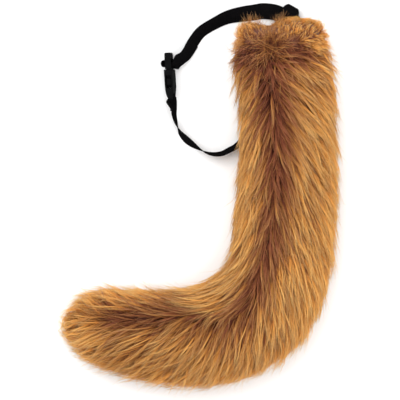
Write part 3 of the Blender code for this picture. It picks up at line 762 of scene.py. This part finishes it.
class Pile:
    """What every layer of the pile grows with: the fabric, the draws and the finish."""

    def __init__(self, body, finish):
        self.body, self.finish = body, finish
        corners = [v.co[:] for v in body.data.vertices]
        self.tree = BVHTree.FromPolygons(corners, [p.vertices[:] for p in body.data.polygons])
        self.draw = np.random.default_rng(12)
        self.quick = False

    def many(self, counts):
        return counts[1] if self.quick else counts[0]

    def planted(self, count):
        """Roots on the fabric, with the pile's length, height and tone there."""
        roots, normals = seeds_on(self.body, count, self.draw)
        return roots, normals, *pile_size(roots, normals), tone_of(roots)

    def grown(self, roots, normals, length, stand, rise, stray):
        return grown(self.tree, roots, normals, length, stand, rise, self.draw, stray)

    def spun(self, name, paths, thickness, shade, parts):
        """A layer's strands, shared out over so many pieces."""
        for i, part in enumerate(np.array_split(np.arange(len(paths)), 1 if self.quick else parts)):
            piece = f"{name}_{i + 1}"
            strand_mesh(piece, paths[part], thickness[part] * MM, shade[part], self.finish)


def underfur(pile):
    """The short, dark pile that is everywhere."""
    count, draw = pile.many(UNDERFUR_HAIRS), pile.draw
    roots, normals, length, stand, tone = pile.planted(count)
    length *= draw.uniform(0.5, 0.75, count)
    stand *= draw.uniform(0.5, 0.85, count)
    paths = pile.grown(roots, normals, length, stand, UNDERFUR_RISE, 0.14)
    shade = np.clip(tone * 0.7 + draw.normal(0, 0.09, count), 0, 1)
    pile.spun("underfur", paths, draw.uniform(0.8, 1.2, count), shade, 1)


def long_pile(pile):
    """The long pile, in locks: the ones on top are the longest and the lightest."""
    locks, each, draw = pile.many(LOCKS), pile.many(HAIRS_IN_A_LOCK), pile.draw
    roots, normals, length, stand, tone = pile.planted(locks)
    on_top = draw.random(locks) < 0.48
    length *= np.where(on_top, draw.uniform(1.05, 1.35, locks), draw.uniform(0.8, 1.05, locks))
    stand *= np.where(on_top, draw.uniform(1.05, 1.3, locks), draw.uniform(0.6, 0.95, locks))
    guides = pile.grown(roots, normals, length, stand, LOCK_RISE, 0.15)
    gathered = on_top & (length > 20 * MM)
    width = np.where(gathered, draw.uniform(0.3, 1.0, locks), draw.uniform(1.2, 3.0, locks)) * MM
    paths, owner = clumped(guides, normals, each, width, draw)
    lighter = 0.08 + 0.18 * eased(0.0, 0.35, tone)
    tone = tone + np.where(on_top, lighter, -0.2) + draw.normal(0, 0.17, locks)
    shade = np.clip(tone[owner] + draw.normal(0, 0.13, len(owner)), 0, 1)
    finer = 0.6 + 0.4 * eased(6 * MM, 32 * MM, length[owner])
    pile.spun("long_pile", paths, draw.uniform(0.36, 0.74, len(owner)) * finer, shade, 4)


def guard_hair(pile):
    """Single long hairs that stand off the rest, the whorl's ruffled ones, and the wisps."""
    count, draw = pile.many(GUARD_HAIRS), pile.draw
    roots, normals, length, stand, tone = pile.planted(count)
    length *= draw.uniform(1.0, 1.35, count)
    stand *= draw.uniform(0.9, 1.35, count)
    at_end = 1 - eased(0.03, 0.05, on_the_line(roots)[0])
    length += 5 * MM * at_end * draw.random(count)

    # The whorl's hairs are planted anew round its middle.
    whorl = np.nonzero(normals[:, 2] > 0.8)[0][: count // WHORL_SHARE]
    common, most = WHORL_REACH
    off = np.clip(draw.normal(0, common, (len(whorl), 2)), -most, most)
    for i, (x, y) in zip(whorl, WHORL + off):
        found, facing_up, _, _ = pile.tree.ray_cast(Vector((x, y, 0.2)), Vector((0, 0, -1)))
        if found:
            roots[i], normals[i] = found, facing_up
            length[i] *= 0.6
    paths = pile.grown(roots, normals, length, stand, GUARD_RISE, 0.22)
    ways = unit(draw.normal(0, 1, (len(whorl), 3)) * (1, 1, 0))
    for k, up in enumerate(WHORL_RISE):
        paths[whorl, k] = roots[whorl] + ways * length[whorl, None] * k / 3 + (0, 0, up * MM)
    shade = tone + draw.uniform(0.0, 0.45, count)
    shade[whorl] = draw.uniform(0.15, 0.5, len(whorl))
    shade = np.clip(shade, 0, 1)
    thickness = draw.uniform(0.3, 0.5, count) * (1 - 0.4 * at_end)

    wisps = wispy_hairs(pile)
    paths = np.concatenate([paths, wisps])
    thickness = np.concatenate([thickness, draw.uniform(0.16, 0.3, len(wisps))])
    shade = np.concatenate([shade, draw.uniform(0.1, 0.6, len(wisps))])
    pile.spun("guard_hair", paths, thickness, shade, 1)


def wispy_hairs(pile):
    """Paths of fine hairs that lean out over the root's end, above the belt."""
    count, draw = pile.many(WISPY_HAIRS), pile.draw
    spots = draw.uniform(*WISPS, (count, 2))
    found = [pile.tree.ray_cast(Vector((x, 0.3, z)), Vector((0, -1, 0)))[0] for x, z in spots]
    roots = np.array([spot for spot in found if spot])
    ways = unit(draw.normal((0, 1, 0.3), (0.4, 0.2, 0.15), (len(roots), 3)))
    reach = draw.uniform(8, 21, len(roots)) * MM
    # They are short over the notch, which stays open.
    reach *= 1 - 0.8 * np.exp(-(((roots[:, 0] - NOTCH[0]) / (9 * MM)) ** 2))
    along = np.linspace(0, 1, 4)[None, :, None]
    bow = draw.normal(0, 1.2 * MM, (len(roots), 1, 3))
    straight = ways[:, None] * reach[:, None, None] * along
    return roots[:, None] + straight + bow * along * (1 - along) * 2


def grow_pile(body, finish):
    pile = Pile(body, finish)
    underfur(pile)
    long_pile(pile)
    guard_hair(pile)


# The belt


def from_root(across, down):
    """A place on the table, in shares of the belt's spread and drop from the root."""
    return Vector((-across * BELT_SPREAD, -down * BELT_DROP, 0.0))


def through(controls, step):
    """Stations a step apart on a smooth curve through (middle, side, lift)."""
    found = []
    last = len(controls) - 1
    for i in range(last):
        around = [controls[max(0, min(last, k))] for k in (i - 1, i, i + 1, i + 2)]
        count = max(1, round((controls[i + 1][0] - controls[i][0]).length / step))
        for n in range(count):
            t = n / count
            weights = (
                (-t + 2 * t**2 - t**3) / 2,
                (2 - 5 * t**2 + 3 * t**3) / 2,
                (t + 4 * t**2 - 3 * t**3) / 2,
                (t**3 - t**2) / 2,
            )
            middle, side = (
                sum((c[part] * w for c, w in zip(around, weights)), Vector((0, 0, 0))) for part in (0, 1)
            )
            lift = sum(c[2] * w for c, w in zip(around, weights))
            found.append((middle, side.normalized(), max(0.0, lift)))
    return found + [controls[-1]]


def facing(stations, i):
    """The way that the band's face looks at a station."""
    last = len(stations) - 1
    return stations[min(i + 1, last)][0] - stations[max(i - 1, 0)][0]


def set_down(stations):
    """Puts each station's lowest corner at its lift over the table."""
    placed = []
    for i, (middle, side, lift) in enumerate(stations):
        ahead = facing(stations, i)
        ahead.z = 0.0
        face = ahead.cross(side).normalized()
        reach = abs(side.z) * BAND_WIDTH / 2 + abs(face.z) * BAND_THICKNESS / 2
        placed.append((Vector((middle.x, middle.y, lift + reach)), side))
    return placed


def buckle_frame():
    """Where the buckle stands: x is its thickness, y its length, z its width."""
    turn = Matrix.Rotation(BUCKLE_TURN, 4, "Z") @ Matrix.Rotation(-BUCKLE_LEAN, 4, "Y")
    low = BUCKLE_HALF_WIDTH * math.cos(BUCKLE_LEAN)
    low += BUCKLE_THICKNESS / 2 * math.sin(BUCKLE_LEAN)
    place = from_root(BUCKLE_ACROSS, BUCKLE_DOWN)
    place.z = low
    return Matrix.Translation(place) @ turn


def in_buckle(stand, offset, length):
    """A station on the buckle's own middle plane."""
    middle = stand @ Vector((offset, length, 0.0))
    side = stand.to_3x3() @ Vector((0.0, 0.0, 1.0))
    return middle, side, middle.z - BAND_WIDTH / 2 * side.z


def leaning(station, roll, towards):
    """A station beside the buckle, with the band's upper edge leaning one way."""
    turn = math.radians(roll)
    side = towards * math.cos(turn) + Vector((0, 0, math.sin(turn)))
    return (station[0], side, *station[2:])


def route_controls(before, after):
    """The belt's free run between two stations that the buckle sets."""
    places = [from_root(across, down) for across, down, _, _ in BELT_ROUTE]
    around = [before, *places, after]
    controls = []
    for i, (_, _, roll, lift) in enumerate(BELT_ROUTE):
        ahead = (around[i + 2] - around[i]).normalized()
        left = Vector((-ahead.y, ahead.x, 0.0))
        turn = math.radians(roll)
        side = left * math.cos(turn) + Vector((0, 0, math.sin(turn)))
        controls.append((places[i], side, lift * BAND_THICKNESS))
    return controls


def beside(stations, offset):
    """The same stations moved off their face."""
    return [
        (middle + facing(stations, i).cross(side).normalized() * offset, side)
        for i, (middle, side) in enumerate(stations)
    ]


def stretch(stations, start, length):
    """The stations between two lengths along them."""
    kept, gone = [], 0.0
    for before, here in zip(stations, stations[1:]):
        gone += (here[0] - before[0]).length
        if start < gone <= start + length:
            kept.append(here)
    return kept


def arc(stand, across, reach, painted_shade, at, first, last):
    """Stations round a bar, from one angle to another, as deep as they reach or flatter."""
    turns = [math.radians(first + (last - first) * i / ARC_STEPS) for i in range(ARC_STEPS + 1)]
    return [
        in_buckle(stand, across + painted_shade * math.cos(turn), at + reach * math.sin(turn))[:2] for turn in turns
    ]


def smoothed(stations, step):
    """Stations that are already in place, with a smooth curve between them."""
    return [found[:2] for found in through([(m, s, 0.0) for m, s in stations], step)]


def belt_stations(stand):
    """The belt's threaded end, its main run and its sewn end."""
    layer = BAND_THICKNESS + BAND_GAP
    slot_high = PLUG_BAR_MIDDLE + THREADED_BEND
    slot_low = PLUG_BAR_MIDDLE - THREADED_BEND
    bar_reach = math.hypot(SOCKET_BAR_THICKNESS, SOCKET_BAR) / 2 + BAND_GAP + BAND_THICKNESS / 2
    plug_side = [in_buckle(stand, -THREADED_BEND / 2, slot_high)]
    plug_side += [
        leaning(in_buckle(stand, offset, PLUG_BAR_MIDDLE + past), roll, LEANS_AT_PLUG)
        for offset, past, roll in LEAVING_RUN
    ]
    socket_side = [
        leaning(in_buckle(stand, offset, SOCKET_END - below), roll, LEANS_AT_SOCKET)
        for offset, below, roll in SEWN_RUN
    ]
    socket_side.append(in_buckle(stand, SOCKET_BAR_OFFSET + bar_reach, SOCKET_BAR_MIDDLE))
    free_run = route_controls(plug_side[-1][0], socket_side[0][0])
    laid = set_down(through(plug_side + free_run + socket_side, BAND_STEP))

    rests = stretch(laid, FREE_JOIN, FREE_END)
    joins = [in_buckle(stand, -THREADED_BEND / 2, slot_low)[:2]]
    joins += [
        leaning(in_buckle(stand, offset, slot_low + past)[:2], roll, LEANS_AT_PLUG)
        for offset, past, roll in FREE_RUN
    ]
    free_end = smoothed(joins + beside(rests, layer), BAND_STEP)
    free_end.reverse()
    tilted = (stand.to_3x3() @ Vector((-THREADED_TILT, 0.0, 1.0))).normalized()
    bend = arc(stand, -THREADED_BEND, THREADED_BEND, THREADED_DEPTH, PLUG_BAR_MIDDLE, -90, -270)
    free_end += [(middle, tilted) for middle, _ in bend]

    back = list(reversed(laid))
    rests = stretch(back, SEWN_JOIN + SOCKET_BAR / 2, SEWN_END)
    sewn_end = arc(stand, SOCKET_BAR_OFFSET, bar_reach, 0.8 * bar_reach, SOCKET_BAR_MIDDLE, 20, 180)
    sewn_end += smoothed(sewn_end[-1:] + beside(rests, layer), BAND_STEP)[1:]
    return free_end, laid, sewn_end


def loop_stations():
    """The webbing loop: in under the tail, out round the band and back in."""
    along = Vector((math.cos(LOOP_HEADING), math.sin(LOOP_HEADING), 0.0))
    out = Vector((-along.y, along.x, 0.0))
    centre = from_root(LOOP_ACROSS, LOOP_DOWN)
    low, high = BAND_THICKNESS / 2, LOOP_HEIGHT
    front = BAND_WIDTH / 2 + LOOP_CLEARANCE - LOOP_TURN
    places = [(-LOOP_SEAT_LOW, low), (-LOOP_SEAT_LOW / 2, low), (0.0, low)]
    for middle, first in ((low + LOOP_TURN, -90), (high - LOOP_TURN, 0)):
        for i in range(TURN_STEPS + 1):
            turn = math.radians(first + i * 90 / TURN_STEPS)
            places.append((front + LOOP_TURN * math.cos(turn), middle + LOOP_TURN * math.sin(turn)))
    places += [(0.0, high + LOOP_RISE / 3), (-LOOP_SEAT_HIGH, high + LOOP_RISE)]
    return [(centre + out * q + Vector((0, 0, z)), along) for q, z in places]


def woven_band(name, stations, finish, widths=None):
    """A band of woven elastic with rounded selvedges, and its map in band widths."""
    half, edge = BAND_WIDTH / 2, BAND_THICKNESS / 2
    outline = [(-half + edge, -edge), (0, -edge), (half - edge, -edge)]
    outline += [(half - edge * (1 - math.cos(a)), edge * math.sin(a)) for a in SELVEDGE]
    outline += [(half - edge, edge), (0, edge), (-half + edge, edge)]
    outline += [(-half + edge * (1 - math.cos(a)), edge * math.sin(a)) for a in reversed(SELVEDGE)]
    around = len(outline)
    shape = bmesh.new()
    band_map = shape.loops.layers.uv.new("band")
    rings, lengths = [], [0.0]
    for i, (middle, side) in enumerate(stations):
        face = facing(stations, i).cross(side).normalized()
        share = 1 if widths is None else widths[i]
        rings.append([shape.verts.new(middle + side * x * share + face * y) for x, y in outline])
        if i:
            lengths.append(lengths[-1] + (middle - stations[i - 1][0]).length)
    for i in range(len(rings) - 1):
        for j in range(around):
            k = (j + 1) % around
            wall = shape.faces.new((rings[i][j], rings[i][k], rings[i + 1][k], rings[i + 1][j]))
            for corner, (column, row) in zip(wall.loops, ((j, i), (k, i), (k, i + 1), (j, i + 1))):
                corner[band_map].uv = (outline[column][0] / BAND_WIDTH + 0.5, lengths[row] / BAND_WIDTH)
    shape.faces.new(rings[0])
    shape.faces.new(list(reversed(rings[-1])))
    bmesh.ops.recalc_face_normals(shape, faces=shape.faces)
    mesh = bpy.data.meshes.new(name)
    shape.to_mesh(mesh)
    shape.free()
    piece = bpy.data.objects.new(name, mesh)
    bpy.context.scene.collection.objects.link(piece)
    mesh.materials.append(finish)
    select_only(piece)
    bpy.ops.object.shade_smooth_by_angle(angle=math.radians(50))
    return piece


def over_the_solid(piece, node):
    """Moves a piece drawn from the tail's root onto the solid that it stands for."""
    places = corners_of(piece)[0] + (*ROOT, 0.0)
    piece.data.vertices.foreach_set("co", places.ravel())
    piece.data.update()
    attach(piece, "root")
    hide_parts(node)


def belt_and_loop(finish):
    free_end, laid, sewn_end = belt_stations(buckle_frame())
    run = free_end + laid + sewn_end
    belt = woven_band("elastic_belt", run, finish)
    over_the_solid(belt, "belt")
    folded = smoothed(loop_stations(), BAND_STEP)
    along = Vector((math.cos(LOOP_HEADING), math.sin(LOOP_HEADING), 0.0))
    out = Vector((-along.y, along.x, 0.0))
    fronts = [middle.dot(out) for middle, _ in folded]
    # The fold's corners are worn round: the band narrows over its last millimetres.
    widths = [
        LOOP_WIDTH - LOOP_WEAR * max(0, 1 - (max(fronts) - front) / LOOP_ROUNDING) ** 2
        for front in fronts
    ]
    keeper = woven_band("webbing_loop", folded, finish, widths)
    over_the_solid(keeper, "belt_loop")


# The studio


def studio():
    """A pale floor, even white light, two soft lamps and the camera above."""
    camera = bpy.data.cameras.new("camera")
    camera.lens, camera.sensor_width = LENS, SENSOR
    camera.clip_end = 20
    eye = bpy.data.objects.new("camera", camera)
    bpy.context.scene.collection.objects.link(eye)
    eye.location = (*FRAME_MIDDLE, TO_SCALE_AT + HALF_FRAME / (SENSOR / 2 / LENS))
    bpy.context.scene.camera = eye

    bpy.ops.object.select_all(action="DESELECT")
    bpy.ops.mesh.primitive_plane_add(size=FLOOR_SIZE, location=(0, 0, FLOOR_LEVEL))
    floor = bpy.context.object
    floor.name = "floor"
    finish, _, _, shader = new_finish("pale_floor")
    shader.inputs["Base Color"].default_value = (0.93, 0.93, 0.93, 1)
    shader.inputs["Roughness"].default_value = 0.9
    floor.data.materials.append(finish)

    world = bpy.data.worlds.new("studio")
    world.use_nodes = True
    world.node_tree.nodes["Background"].inputs["Color"].default_value = (1, 1, 1, 1)
    world.node_tree.nodes["Background"].inputs["Strength"].default_value = 1.0
    bpy.context.scene.world = world
    bpy.context.scene.view_settings.view_transform = "Standard"
    for name, place, size, power in LAMPS:
        lamp = bpy.data.lights.new(name, "AREA")
        lamp.size, lamp.energy = size, power
        light = bpy.data.objects.new(name, lamp)
        light.location = place
        light.rotation_euler = (-Vector(place)).to_track_quat("-Z", "Y").to_euler()
        bpy.context.scene.collection.objects.link(light)


def main():
    studio()
    body = stuffed_body(backing_finish())
    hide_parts("fur_tail")
    grow_pile(body, fur_finish())
    belt_and_loop(elastic_finish())
    moulded = moulded_finish()
    for name in ("buckle_socket", "buckle_plug"):
        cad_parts[name].material_slots[0].material = moulded


main()
